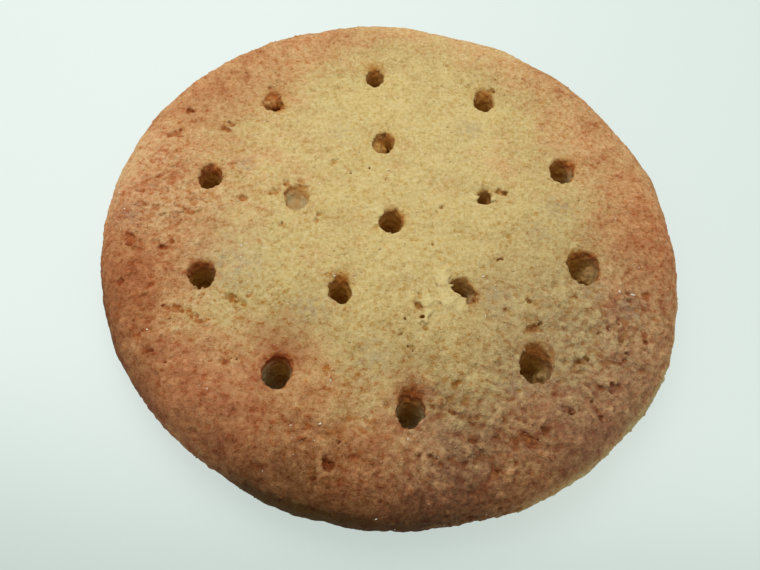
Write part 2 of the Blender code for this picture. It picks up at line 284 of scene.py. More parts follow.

# The floor: its colour, the painted shade it darkens to, and how much of it glows and doesn't;
# the glow is painted light that washes out its shadows. The painted shade grows along two axes,
# towards the near side and the right, from one place to another in metres, by a share.
FLOOR_PALE = (0.78, 0.86, 0.82)
FLOOR_PAINTED_SHADE = (0.40, 0.50, 0.45)
FLOOR_SHARES = {"Base Color": 0.22, "Emission Color": 0.76}
FLOOR_SHADE_FALLS = ((1, -0.016, -0.060, 0.80), (0, -0.03, 0.06, 0.16))
FLOOR_SIZE = 4.0
FLOOR_HEIGHT = -0.00002

# The crust's colours by how dark it is baked: the tone, and there straw and russet crust
BAKES = (
    (0.0, (0.650, 0.486, 0.206), (0.773, 0.475, 0.235)),
    (0.3, (0.545, 0.387, 0.160), (0.648, 0.345, 0.152)),
    (0.6, (0.410, 0.272, 0.110), (0.481, 0.232, 0.094)),
    (1.0, (0.219, 0.130, 0.047), (0.251, 0.102, 0.038)),
    (1.4, (0.089, 0.049, 0.010), (0.094, 0.036, 0.008)),
)
DARKEST = BAKES[-1][0]

# The share of its red, green and blue that the crust keeps in dark flecks, and in the painted
# shade of its hollows, on straw and on russet crust; where it is reddest; in specks and dust; in
# the painted shade on the slopes drawn back from hole lips; and in the painted shade of sunk places
STRAW_FLECK_AND_SHADE = (0.80, 0.58, 0.25)
RUSSET_FLECK_AND_SHADE = (0.80, 0.54, 0.37)
ROSY = (0.94, 0.69, 0.65)
SPECK = (0.86, 0.57, 0.27)
DUST = (0.78, 0.64, 0.36)
LIP_SHADE_TINT = (0.80, 0.53, 0.28)
SUNK_SHADE = (0.80, 0.52, 0.32)

# The colours that lie over the crust's own, among them painted shade deep in holes and pores
# and painted light on the walls of holes that face the light
GRAIN = (0.80, 0.66, 0.38)
BLOOM = (0.40, 0.29, 0.21)
BRAN = (0.34, 0.26, 0.19)
# Painted shade deep in the holes and pores
DEEP_SHADE = (0.47, 0.23, 0.035)
# Pale crumb on hole walls that face the light: partly unbaked crumb, partly painted light
LIT_BARE_CRUMB = (0.46, 0.39, 0.21)
PALE_CRUMB = (0.66, 0.50, 0.28)
PLATE = (0.76, 0.61, 0.28)
SUGAR = (0.84, 0.78, 0.64, 1.0)

UP = (0.0, 0.0, 1.0)

# The corners of a lattice cell, as steps along its three axes
CORNERS = tuple(itertools.product((0, 1), repeat=3))


def outline_radius(angle):
    """The rim's largest radius at each angle: a circle with slow swellings and hollows."""
    radius = np.full_like(angle, DIAMETER / 2)
    for middle, half_width, swell in RIM_SWELLS:
        away = (np.degrees(angle) - middle + 180.0) % 360.0 - 180.0
        radius += swell * np.exp(-((away / half_width) ** 2))
    return radius


def smooth_depth(x, y, z):
    """How deep each place lies under the smooth slab's skin, and below 0 outside it."""
    radius = np.hypot(x, y)
    inset = outline_radius(np.arctan2(y, x)) - radius
    top = THICKNESS - CROWN * np.minimum(radius / (DIAMETER / 2), 1.0) ** 2
    rise = top - WIDEST_HEIGHT
    out = np.clip(1.0 - inset / SHOULDER, 0.0, None) ** SHOULDER_POWER
    up = np.clip((z - WIDEST_HEIGHT) / rise, 0.0, None) ** SHOULDER_POWER
    above = rise * (1.0 - (out + up) ** (1.0 / SHOULDER_POWER))
    out = np.clip(1.0 - inset / TUCK, 0.0, None)
    down = np.clip(1.0 - z / WIDEST_HEIGHT, 0.0, None)
    reach = np.hypot(out, down)
    scale = (TUCK * out ** 2 + WIDEST_HEIGHT * down ** 2 + 1e-9) / (reach ** 2 + 1e-9)
    below = scale * (1.0 - reach)
    return np.where(z > WIDEST_HEIGHT, above, below)


def bump_at(x, y, middle_x, middle_y, reach):
    """1 at a place, falling to 0 about its reach away."""
    return np.exp(-(((x - middle_x) ** 2 + (y - middle_y) ** 2) / reach ** 2))


def patch_sum(patches, column, x, y):
    """Adds up one column of a table of patches at each place."""
    return sum(patch[column] * bump_at(x, y, *patch[:3]) for patch in patches)


def patch_most(patches, x, y):
    """1 in the middle of a patch, falling to 0 away from them all."""
    share = np.zeros(np.broadcast(x, y).shape, np.float32)
    for middle_x, middle_y, reach in patches:
        away = np.hypot(x - middle_x, y - middle_y) / reach
        share = np.maximum(share, np.exp(-away ** 2))
    return share


def hole_middle(ring, place, drift_x, drift_y):
    """Where a docker pin went in."""
    radius, pins, first = DOCKER_RINGS[ring]
    angle = math.radians(first - place * 360.0 / pins)
    return (DOCKER_MIDDLE[0] + radius * math.cos(angle) + drift_x,
            DOCKER_MIDDLE[1] + radius * math.sin(angle) + drift_y)


def dimple(x, y):
    """How far the skin has sagged beside the docker holes."""
    depth = np.zeros(np.broadcast(x, y).shape, np.float32)
    for hole in DOCKER_HOLES:
        middle = hole_middle(*hole[:4])
        away = np.hypot(x - middle[0], y - middle[1]) / DIMPLE_RADIUS
        depth += DIMPLE_DEPTH * np.exp(-away ** 2)
    return depth


def smooth_least(a, b, rounding):
    """The lesser of two fields, with the crease between them rounded."""
    share = np.clip(0.5 + 0.5 * (b - a) / rounding, 0.0, 1.0)
    return b + (a - b) * share - rounding * share * (1.0 - share)


def smooth_most(a, b, rounding):
    return -smooth_least(-a, -b, rounding)


def smooth_step(low, high, value):
    share = np.clip((value - low) / (high - low), 0.0, 1.0)
    return share * share * (3.0 - 2.0 * share)


def turned(x, y, turn):
    """A place along and across a direction."""
    return x * math.cos(turn) + y * math.sin(turn), y * math.cos(turn) - x * math.sin(turn)


class Dough:
    """The slab as depths on a lattice: above 0 in the crumb, below 0 in the air."""

    def __init__(self, rng):
        reach = DIAMETER / 2 + MARGIN
        self.rng = rng
        self.axes = (
            np.arange(-reach, reach, PITCH, dtype=np.float32),
            np.arange(-reach, reach, PITCH, dtype=np.float32),
            np.arange(-2.5 * PITCH, THICKNESS + MARGIN, PITCH, dtype=np.float32),
        )
        self.x = self.axes[0][:, None, None]
        self.y = self.axes[1][None, :, None]
        self.z = self.axes[2][None, None, :]
        self.marks = {"smear": [], "bare": [], "plate": []}
        self.smooth = smooth_depth(self.x, self.y, self.z)
        self.depth = self.smooth.copy()

    def spread(self, values, start, pitch):
        """Carries a coarse lattice's values onto this one by cubic interpolation."""
        for axis, fine in enumerate(self.axes):
            place = (fine - start[axis]) / pitch[axis]
            base = np.floor(place).astype(int)
            t = (place - base).astype(np.float32)
            weights = (
                -0.5 * t + t * t - 0.5 * t ** 3,
                1.0 - 2.5 * t * t + 1.5 * t ** 3,
                0.5 * t + 2.0 * t * t - 1.5 * t ** 3,
                -0.5 * t * t + 0.5 * t ** 3,
            )
            shape = [1, 1, 1]
            shape[axis] = len(fine)
            total = 0.0
            for step, weight in enumerate(weights):
                index = np.clip(base - 1 + step, 0, values.shape[axis] - 1)
                total = total + np.take(values, index, axis) * weight.reshape(shape)
            values = total
        return values

    def coarse_places(self, pitch):
        """The start and the axes of a coarse lattice that covers this one."""
        start = [axis[0] - step for axis, step in zip(self.axes, pitch)]
        counts = [int((axis[-1] - axis[0]) / step) + 4 for axis, step in zip(self.axes, pitch)]
        return start, [start[i] + pitch[i] * np.arange(counts[i]) for i in range(3)]

    def swell_noise(self, spacing):
        """The frame's own relief noise, from -1 to 1."""
        pitch = [spacing / 4] * 3
        start, places = self.coarse_places(pitch)
        values = [[[noise.noise((x / spacing, y / spacing, z / spacing)) for z in places[2]]
                   for y in places[1]] for x in places[0]]
        return self.spread(np.array(values, np.float32), start, pitch)

    def crumb_noise(self, spacing, stretch=1.0):
        """Random lumps about as far apart as the spacing, drawn out in X by the stretch."""
        pitch = [spacing * stretch, spacing, spacing]
        start, places = self.coarse_places(pitch)
        values = self.rng.standard_normal([len(place) for place in places])
        return self.spread(values.astype(np.float32), start, pitch)

    def near(self, middle, reach):
        """The part of the lattice round a place: its slices and its coordinates."""
        cuts = tuple(
            slice(*np.searchsorted(axis, (at - reach, at + reach)))
            for axis, at in zip(self.axes, middle)
        )
        x = self.axes[0][cuts[0]][:, None, None] - middle[0]
        y = self.axes[1][cuts[1]][None, :, None] - middle[1]
        z = self.axes[2][cuts[2]][None, None, :] - middle[2]
        return cuts, x, y, z

    def egg(self, middle, sizes, turn=0.0, lean=UP, ragged=0.0):
        """Distance outside an uneven egg: its slices and the field. lean is its short axis."""
        cuts, x, y, z = self.near(middle, max(sizes) + 3 * PITCH)
        up = Vector(lean).normalized()
        along = Vector((math.cos(turn), math.sin(turn), 0.0))
        along = (along - up * along.dot(up)).normalized()
        side = up.cross(along)
        parts = [
            (x * way.x + y * way.y + z * way.z) / size
            for way, size in zip((along, side, up), sizes)
        ]
        reach = np.sqrt(parts[0] ** 2 + parts[1] ** 2 + parts[2] ** 2)
        return cuts, (reach - 1.0) * min(sizes) + ragged * self.raggedness[cuts]

    def cut_egg(self, middle, sizes, turn=0.0, lean=UP, rounding=0.08, ragged=0.06):
        cuts, outside = self.egg(middle, sizes, turn, lean, ragged)
        self.depth[cuts] = smooth_least(self.depth[cuts], outside, rounding)

    def add_egg(self, middle, sizes, turn=0.0, lean=UP, rounding=0.08, ragged=0.06):
        cuts, outside = self.egg(middle, sizes, turn, lean, ragged)
        self.depth[cuts] = smooth_most(self.depth[cuts], -outside, rounding)

    def add_plate(self, x, y, length, width, turn):
        """Lays a thin plate of skin with torn edges on the top."""
        middle = (x, y, self.height(x, y) + 0.04)
        cuts, dx, dy, dz = self.near(middle, length / 2 + 1.0)
        along, across = turned(dx, dy, turn)
        edge = (along / (length / 2)) ** 4 + (across / (width / 2)) ** 4
        edge = (edge ** 0.25 - 1.0) * width / 2 + 0.20 * self.raggedness[cuts]
        outside = smooth_most(edge, np.abs(dz) - 0.15, 0.04)
        self.depth[cuts] = smooth_most(self.depth[cuts], -outside, 0.03)
        self.mark("plate", (x, y), turn, 0.6 * length, 0.6 * width, 1.0)

    def cut_ramp(self, middle, turn, mouth, size):
        """Draws a hole's lip back to one side, as a crumbly slope."""
        cuts, x, y, z = self.near(middle, mouth + size + 1.0)
        along, across = turned(x, y, turn)
        slope = 0.6 * (along - mouth - size - z)
        narrowing = 1.0 - 0.4 * np.clip((along - 0.5 * mouth) / (0.5 * mouth + size), 0.0, 1.0)
        sides = np.abs(across) - 0.9 * mouth * narrowing
        outside = smooth_most(slope, sides, 0.6)
        outside = smooth_most(outside, -0.2 - along, 0.3) + 0.10 * self.raggedness[cuts]
        self.depth[cuts] = smooth_least(self.depth[cuts], outside, 0.3)

    def mark(self, name, place, turn, along, across, strength):
        self.marks[name].append((place[0], place[1], turn, along, across, strength))

    def marked(self, name, x, y):
        """How strongly each place lies under a mark of this name."""
        share = np.zeros(np.broadcast(x, y).shape)
        for middle_x, middle_y, turn, along, across, strength in self.marks[name]:
            u, v = turned(x - middle_x, y - middle_y, turn)
            share = np.maximum(share, strength * np.exp(-(u / along) ** 2 - (v / across) ** 2))
        return share

    def grown(self, seeds, allowed):
        """The allowed places that join up with the seeds."""
        reached = seeds & allowed
        while True:
            wider = reached.copy()
            for axis in range(3):
                layers, grown = np.moveaxis(reached, axis, 0), np.moveaxis(wider, axis, 0)
                grown[1:] |= layers[:-1]
                grown[:-1] |= layers[1:]
            wider &= allowed
            if wider.sum() == reached.sum():
                return reached
            reached = wider

    def tidy(self):
        """Fills sealed bubbles and drops loose scraps."""
        air = self.depth < 0.0
        open_air = self.grown(self.smooth < -2 * PITCH, air)
        self.depth[air & ~open_air] = PITCH
        solid = self.depth >= 0.0
        joined = self.grown(self.smooth > 2.0, solid)
        self.depth[solid & ~joined] = -PITCH

    def sample(self, field, points):
        """Reads a field at points, between its lattice places."""
        total = 0.0
        bases, shares = [], []
        for axis, values in zip(self.axes, points.T):
            place = np.clip((values - axis[0]) / PITCH, 0, len(axis) - 1.001)
            bases.append(place.astype(int))
            shares.append(place - bases[-1])
        for corner in CORNERS:
            weight = 1.0
            for share, step in zip(shares, corner):
                weight = weight * (share if step else 1.0 - share)
            total = total + weight * field[tuple(b + s for b, s in zip(bases, corner))]
        return total


def draw_skin(field, axes):
    """Points and quads of the surface where a lattice field is nought.

    Every cell that the surface crosses gets one point, at the mean of the places where it
    crosses the cell's edges, and every lattice edge that it crosses gets one quad.
    """
    inside = field > 0.0
    cuts = {
        corner: tuple(slice(step, step + size - 1) for step, size in zip(corner, field.shape))
        for corner in CORNERS
    }
    first = inside[cuts[CORNERS[0]]]
    cells = np.any([inside[cut] != first for cut in cuts.values()], axis=0)
    places = np.argwhere(cells)
    number = np.full(cells.shape, -1, np.int64)
    number[cells] = np.arange(len(places))
    values = {corner: field[cut][cells] for corner, cut in cuts.items()}
    total = np.zeros((len(places), 3))
    crossings = np.zeros(len(places))
    for start, axis in itertools.product(CORNERS, range(3)):
        if start[axis]:
            continue
        end = tuple(step + (way == axis) for way, step in enumerate(start))
        a, b = values[start], values[end]
        crosses = (a > 0.0) != (b > 0.0)
        share = np.where(crosses, a / np.where(crosses, a - b, 1.0), 0.0)
        for way in range(3):
            total[:, way] += crosses * (share if way == axis else start[way])
        crossings += crosses
    points = places + total / crossings[:, None]
    quads = []
    for axis in range(3):
        one, two = (axis + 1) % 3, (axis + 2) % 3
        low = [slice(1, -1)] * 3
        low[axis] = slice(0, -1)
        high = list(low)
        high[axis] = slice(1, None)
        a, b = inside[tuple(low)], inside[tuple(high)]
        starts = np.argwhere(a != b)
        leaving = a[a != b]
        starts[:, [one, two]] += 1
        ring = []
        for step_one, step_two in ((0, 0), (1, 0), (1, 1), (0, 1)):
            cell = starts.copy()
            cell[:, one] -= 1 - step_one
            cell[:, two] -= 1 - step_two
            ring.append(number[tuple(cell.T)])
        quad = np.stack(ring, 1)
        quad[~leaving] = quad[~leaving, ::-1]
        quads.append(quad)
    pitch = axes[0][1] - axes[0][0]
    start = np.array([axis[0] for axis in axes])
    return start + points * pitch, np.concatenate(quads)


def add_object(name, data):
    thing = bpy.data.objects.new(name, data)
    bpy.context.scene.collection.objects.link(thing)
    return thing


def add_mesh(name, points, faces):
    """A linked object of a mesh, from points in mm and faces that all have as many corners."""
    mesh = bpy.data.meshes.new(name)
    corners = faces.shape[1]
    mesh.vertices.add(len(points))
    mesh.vertices.foreach_set("co", (points * MM).astype(np.float32).ravel())
    mesh.loops.add(faces.size)
    mesh.loops.foreach_set("vertex_index", faces.astype(np.int32).ravel())
    mesh.polygons.add(len(faces))
    starts = np.arange(0, faces.size, corners, dtype=np.int32)
    mesh.polygons.foreach_set("loop_start", starts)
    mesh.update(calc_edges=True)
    mesh.validate()
    return add_object(name, mesh)


def rough_share(x, y):
    """Where the crust is crumbly, from 0 to 1."""
    radius = np.hypot(x, y)
    rim = smooth_step(22.0, 32.0, radius) * (1.0 - 0.8 * bump_at(x, y, *SMOOTH_RIM))
    share = 0.14 + 0.24 * rim + 0.75 * patch_most(CRAG_PATCHES, x, y)
    share += patch_sum(ROUGH_PATCHES, 3, x, y)
    return np.clip(share, 0.0, 1.0) * (1.0 - 0.4 * smooth_step(31.0, 34.0, radius))


def raise_relief(dough):
    """The frame's relief, and then the finer crumb that the frame leaves out."""
    fade = np.clip(dough.z / FLAT_BAND, 0.0, 1.0)
    broad = BROAD_RELIEF * dough.swell_noise(BROAD_SPACING)
    fine = FINE_RELIEF * dough.swell_noise(FINE_SPACING)
    crag = patch_most(CRAG_PATCHES, dough.x, dough.y) * CRAG_RELIEF
    crag = crag * dough.swell_noise(CRAG_SPACING)
    dough.depth += fade * (broad + fine + crag - dimple(dough.x, dough.y))
    dough.skin = dough.depth.copy()
    rough = rough_share(dough.x, dough.y)
    calm = smooth_step(0.2, 1.1, dough.crumb_noise(4.0)) * (1.0 - 0.8 * rough)
    crumb, grain = 0.0, 0.0
    for height, *spacing in FOLDED_CRUMB:
        crumb += height * (np.abs(dough.crumb_noise(*spacing)) - FOLD_LEVEL)
    for height, *spacing in ROUND_CRUMB:
        crumb += height * dough.crumb_noise(*spacing)
    for height, *spacing in GRAIN_LAYERS:
        grain += height * dough.crumb_noise(*spacing)
    dough.depth += fade * (rough * crumb + (1.0 - 0.6 * calm) * grain)
    line = np.abs(dough.crumb_noise(1.5, 1.7))
    broken = smooth_step(0.1, 1.0, dough.crumb_noise(1.9, 1.5) + 0.6 * rough)
    crease = np.exp(-(line / CREASE_WIDTH) ** 2) * broken * smooth_step(0.2, 0.8, rough)
    pitted = dough.crumb_noise(0.55, 1.25) + 0.8 * rough - 0.8 * calm
    pit = smooth_step(1.2, 2.2, pitted)
    dough.depth -= fade * (CREASE_DEPTH * crease + PIT_DEPTH * pit)


def top_surface(dough):
    """A function that gives the crust's height at X, Y, before any hole is cut."""
    solid = dough.depth > 0.0
    highest = len(dough.axes[2]) - 1 - np.argmax(solid[:, :, ::-1], axis=2)

    def height(x, y):
        column = (int((x - dough.axes[0][0]) / PITCH), int((y - dough.axes[1][0]) / PITCH))
        return float(dough.axes[2][highest[column]]) + 0.5 * PITCH

    return height


def cut_docker_hole(dough, ring, place, drift_x, drift_y, width, depth):
    """One blind docker hole: tapered, with a lip that is drawn back at the far side."""
    x, y = hole_middle(ring, place, drift_x, drift_y)
    mouth = width / 2
    middle = (x, y, MOUTH_HEIGHT - depth / 2)
    cuts, dx, dy, dz = dough.near(middle, max(mouth, depth / 2) + 1.6)
    z = dz + middle[2]
    sunk = np.clip((MOUTH_HEIGHT - z) / depth, 0.0, 1.0)
    back = LIP_RAMP / 2 * np.clip(1.0 - sunk / 0.84, 0.0, 1.0)
    across = mouth * (1.0 - (1.0 - HOLE_TAPER) * 0.55 * sunk)
    turn = dough.rng.uniform(0, 2 * math.pi, 2)
    angle = np.arctan2(dy, dx)
    wobble = 1.0 + 0.04 * np.sin(2 * angle + turn[0] + sunk) + 0.03 * np.sin(3 * angle + turn[1])
    reach = np.sqrt((dx / across) ** 2 + ((dy - back) / (across + back)) ** 2)
    wall = (reach / wobble - 1.0) * across
    floor = (MOUTH_HEIGHT - depth) - z
    outside = smooth_most(wall, floor, HOLE_FLOOR_ROUNDING) + 0.08 * dough.raggedness[cuts]
    far = smooth_step(-0.5 * mouth, mouth, dy)
    rounding = LIP_ROUNDING * (0.6 + 1.6 * far)
    dough.depth[cuts] = smooth_least(dough.depth[cuts], outside, rounding)


def dress_hole(dough, hole, feature, direction, size):
    """Adds one feature to a hole: what the dough did there when the pin came out; smear marks paint
    shade on a drawn-back lip, bare marks paint light on a wall.
    """
    x, y = hole_middle(*hole[:4])
    mouth = hole[4] / 2
    turn = math.radians(direction)

    def at(distance, sink, swing=0.0):
        way = turn + swing
        return (x + distance * math.cos(way), y + distance * math.sin(way), MOUTH_HEIGHT - sink)

    # Clots of dough in the hole: place, sizes, how rounded where they join, and how ragged
    clots = {
        "ledge": (at(1.05 * mouth, 1.3), (0.45 * size, 0.75 * mouth, 0.7), 0.3, 0.2),
        "fill": (at(0.8 * mouth, 3.4), (0.8 * size, 0.8 * size, 1.6), 0.4, 0.15),
        "shelf": (at(0.6 * mouth, 0.8 + size), (0.9 * mouth, 1.1 * mouth, 0.9), 0.5, 0.12),
    }
    if feature in clots:
        middle, sizes, *joint = clots[feature]
        dough.add_egg(middle, sizes, turn, UP, *joint)
    if feature == "ramp":
        dough.cut_ramp(at(0.0, 0.0), turn, mouth, size)
        # The drawn-back slope is marked for painted shade, darker and redder
        dough.mark("smear", at(mouth + 0.4 * size, 0.0), turn, 0.5 + 0.5 * size, mouth, 0.8)
    if feature == "smear":
        # Painted shade, darker and redder, beyond the lip
        dough.mark("smear", at(mouth + 0.8 * size, 0.0), turn, 0.8 * size, 1.1 * size, 1.0)
    if feature == "bare":
        # Painted light: pale crumb on the wall that faces the light, partly its own pale colour
        dough.mark("bare", at(0.8 * mouth, 0.0), turn, 0.75 * mouth, 0.75 * mouth, size)
    if feature == "lid":
        middle = at(mouth + 0.4 * size, 0.0)
        dough.add_plate(middle[0], middle[1], 2.0 * size, 1.6 * size, turn)
    if feature == "teeth":
        for swing in (-0.28, 0.24):
            dough.add_egg(at(0.92 * mouth, 0.5, swing), (0.4 * size, 0.3 * size, size), turn)
    if feature == "notch":
        for step in range(4):
            middle = at(mouth + 0.3 * step * size, 0.15, dough.rng.uniform(-0.25, 0.25))
            dough.cut_egg(middle, (0.5 * size, 0.4 * size, 0.55), turn)


def skin_spots(dough, count, weigh):
    """Random places on the smooth skin, from every other place of the lattice."""
    coarse = dough.skin[::2, ::2, ::2]
    points, quads = draw_skin(coarse, [axis[::2] for axis in dough.axes])
    return scatter_places(points, quads, dough.rng, count, weigh)


def scatter_places(points, quads, rng, count, weigh):
    """Random places on a mesh of quads with their outward normals, by a weight for each."""
    corners = points[quads]
    normals = np.cross(corners[:, 2] - corners[:, 0], corners[:, 3] - corners[:, 1])
    area = np.linalg.norm(normals, axis=1) + 1e-9
    middle = corners.mean(1)
    weight = area * weigh(middle)
    chosen = rng.choice(len(quads), count, p=weight / weight.sum())
    jitter = rng.uniform(-0.5, 0.5, (count, 2, 1)) * np.stack(
        [corners[chosen, 1] - corners[chosen, 0], corners[chosen, 3] - corners[chosen, 0]], 1)
    return middle[chosen] + jitter.sum(1), normals[chosen] / area[chosen, None]


def pore_weight(middle):
    """Pores are thickest in the crumbly patches, and few on the underside."""
    x, y, z = middle.T
    return (0.08 + rough_share(x, y) ** 1.5) * np.where(z < 0.4, 0.10, 1.0)


def cut_pores(dough):
    """The placed pores, plates, pinholes and scuffs, and then the random pores."""
    height, rng = dough.height, dough.rng
    for x, y, length, width, depth, turn in PORES:
        sizes = (length / 2, width / 2, 0.6 * depth)
        turn = math.radians(turn)
        dough.cut_egg((x, y, height(x, y)), sizes, turn, rounding=0.2, ragged=0.16)
    for x, y, length, width, turn in PLATES:
        dough.add_plate(x, y, length, width, math.radians(turn))
    for spots, along, across, turns, lift, *edge in SPOT_SHAPES:
        for x, y, width in spots:
            turn = rng.uniform(*turns)
            sizes = (along * width, across * width, SPOT_DEPTH)
            dough.cut_egg((x, y, height(x, y) + lift), sizes, turn, UP, *edge)
    spots, normals = skin_spots(dough, RANDOM_PORES, pore_weight)
    for spot, normal in zip(spots, normals):
        size = 0.16 + 0.30 * rng.random() ** 1.8
        stretch = rng.uniform(1.0, 1.8)
        turn = rng.uniform(-0.5, 0.5)
        middle = spot + normal * size * rng.uniform(0.0, 0.35)
        lean = normal + (0.0, 0.35, 0.0)
        dough.cut_egg(middle, (size * stretch, size, size * 0.8), turn, lean, 0.07)


def cut_cracks(dough):
    """The named cracks, and short wandering ones in the crumbly patches."""
    rng = dough.rng

    def open_up(x, y, size):
        dough.cut_egg((x, y, dough.height(x, y)), (size, size, 0.22), rounding=0.12)

    for places in CRACKS:
        for start, end in zip(places, places[1:]):
            steps = int(math.dist(start, end) / CRACK_STEP) + 1
            for step in range(steps):
                share = step / steps
                x = start[0] + share * (end[0] - start[0]) + rng.normal(0, 0.10)
                y = start[1] + share * (end[1] - start[1]) + rng.normal(0, 0.10)
                open_up(x, y, rng.uniform(0.11, 0.24))

    def weigh(middle):
        x, y, z = middle.T
        return (0.02 + patch_most(CRAG_PATCHES, x, y) ** 2) * (z > 5.0)

    spots, _ = skin_spots(dough, RANDOM_CRACKS, weigh)
    for x, y, _ in spots:
        heading = rng.choice((0.0, math.pi)) + rng.normal(0, 0.4)
        for _ in range(int(rng.integers(4, 9))):
            open_up(x, y, rng.uniform(0.12, 0.22))
            heading += rng.normal(0, 0.45)
            x += CRACK_STEP * math.cos(heading)
            y += CRACK_STEP * math.sin(heading)


def make_dough():
    """The whole field, with everything that is raised on the slab and cut into it."""
    dough = Dough(np.random.default_rng(SEED))
    raise_relief(dough)
    dough.height = top_surface(dough)
    dough.raggedness = dough.crumb_noise(0.5) + 0.7 * dough.crumb_noise(0.28)
    cut_pores(dough)
    cut_cracks(dough)
    for hole in DOCKER_HOLES:
        cut_docker_hole(dough, *hole[:6])
    for hole in DOCKER_HOLES:
        for feature in hole[6:]:
            dress_hole(dough, hole, *feature)
    dough.depth = np.minimum(dough.depth, HIGHEST - dough.z)
    dough.tidy()
    return dough


def thin_out(thing, triangles):
    """Collapses the mesh's flattest edges until it has about so many triangles."""
    before = 2 * len(thing.data.polygons)
    spare = thing.vertex_groups.new(name="spare")
    low = np.flatnonzero(mesh_points(thing)[:, 2] < 0.5)
    spare.add(low.tolist(), 1.0, "REPLACE")
    thin = thing.modifiers.new("thin", "DECIMATE")
    thin.vertex_group = spare.name
    thin.vertex_group_factor = UNDERSIDE_THINNING
    thin.ratio = min(1.0, triangles / before)
    thin.use_collapse_triangulate = True
    shape = thing.evaluated_get(bpy.context.evaluated_depsgraph_get())
    mesh = bpy.data.meshes.new_from_object(shape)
    thing.modifiers.clear()
    thing.vertex_groups.clear()
    thing.data = mesh
    mesh.name = thing.name


def mesh_points(thing):
    """A mesh's points in mm."""
    points = np.zeros(len(thing.data.vertices) * 3, np.float32)
    thing.data.vertices.foreach_get("co", points)
    return points.reshape(-1, 3) / MM


def note(thing, name, values):
    """Writes a value for each point, which the material reads by its name."""
    field = thing.data.attributes.new(name, "FLOAT", "POINT")
    field.data.foreach_set("value", np.asarray(values, np.float32))


def baked(points, column):
    """One patch column summed over the top, and under the shoulder the flank's painted light and
    shade.
    """
    x, y, z = points.T
    flank = smooth_step(6.4, 3.5, z)
    return patch_sum(BAKED_PATCHES, column, x, y) + flank * patch_sum(FLANK_LIGHT_AND_SHADE, column, x, y)


def browning(points):
    """How dark: 0 where palest, past 1 at the near rim; browned crust with painted light and shade.
    """
    x, y, _ = points.T
    radius = np.hypot(x, y)
    brown = 0.04 + 0.28 * smooth_step(*BAKED_RIM, radius) + 0.66 * smooth_step(0.0, -36.0, y)
    # Darker still round the outermost near rim: partly browned crust, partly painted shade
    brown += 0.20 * smooth_step(29.0, 34.0, radius) * bump_at(x, y, -2.0, -35.0, 20.0)
    return brown + baked(points, 3)


def ruddy(points):
    """How red the crust is baked: 0 in the straw-coloured middle and 1 at most of the rim."""
    x, y, _ = points.T
    # The red is shifted too by the painted light and shade of the flank, through the patches
    red = smooth_step(*BAKED_RIM, np.hypot(x + 1.0, y - 3.0)) + baked(points, 4)
    return red + smooth_step(26.0, 32.0, np.hypot(x, y)) * patch_sum(RUDDY_RIM, 3, x, y)


def lively(points):
    """How strongly the crust is flecked: least at the far middle, most at the near right."""
    x, y, _ = points.T
    share = 0.30 + 0.40 * smooth_step(12.0, 30.0, np.hypot(x, y - 6.0))
    return share + patch_sum(FLECKED_PATCHES, 3, x, y)


def note_looks(dough, thing):
    """Writes down what the crust's material needs to know at each point."""
    points = mesh_points(thing)
    x, y, _ = points.T
    pit = dough.sample(dough.skin, points)
    looks = {
        "browning": browning(points),
        "ruddy": ruddy(points),
        "lively": lively(points),
        "rough": rough_share(x, y),
        "bran": patch_most(BRAN_PATCHES, x, y),
        "bloom": patch_sum(BLOOM_PATCHES, 3, x, y),
        "pit": pit,
        # Painted shade on the slopes drawn back from the hole lips
        "smear": dough.marked("smear", x, y),
        # Painted light on hole walls that face the light, which is pale crumb too
        "bare": dough.marked("bare", x, y) * smooth_step(0.4, 1.0, pit),
        "plate": dough.marked("plate", x, y) * smooth_step(-0.02, -0.10, pit),
    }
    for name, values in looks.items():
        note(thing, name, values)


def make_crust(dough, points, quads):
    """The skin of the dough as one mesh."""
    crust = add_mesh("crust", points, quads)
    thin_out(crust, SKIN_TRIANGLES)
    crust.data.shade_smooth()
    note_looks(dough, crust)
    return crust


def ball():
    """An icosahedron's corners and faces."""
    made = bmesh.new()
    bmesh.ops.create_icosphere(made, subdivisions=1, radius=1.0)
    corners = np.array([corner.co[:] for corner in made.verts])
    faces = np.array([[corner.index for corner in face.verts] for face in made.faces])
    made.free()
    return corners, faces


def scatter(name, rng, spots, normals, sizes, unevenness):
    """One mesh of uneven grains that lie along the skin at their spots."""
    corners, faces = ball()
    count = len(spots)
    shapes = corners[None] * (1.0 + unevenness * rng.uniform(-1, 1, (count, len(corners), 1)))
    shapes = shapes * sizes[:, None, :]
    turn = rng.uniform(0, 2 * math.pi, count)
    across = np.stack([np.cos(turn), np.sin(turn), rng.uniform(-0.3, 0.3, count)], 1)
    across -= normals * np.sum(across * normals, axis=1)[:, None]
    across /= np.linalg.norm(across, axis=1)[:, None]
    ways = np.stack([across, np.cross(normals, across), normals], 1)
    points = spots[:, None] + np.einsum("nkc,ncx->nkx", shapes, ways)
    numbers = faces[None] + (np.arange(count) * len(corners))[:, None, None]
    return add_mesh(name, points.reshape(-1, 3), numbers.reshape(-1, 3))


def open_skin(z):
    """Grains lie on the top and the shoulder and not on the underside."""
    return smooth_step(1.0, 4.0, z)


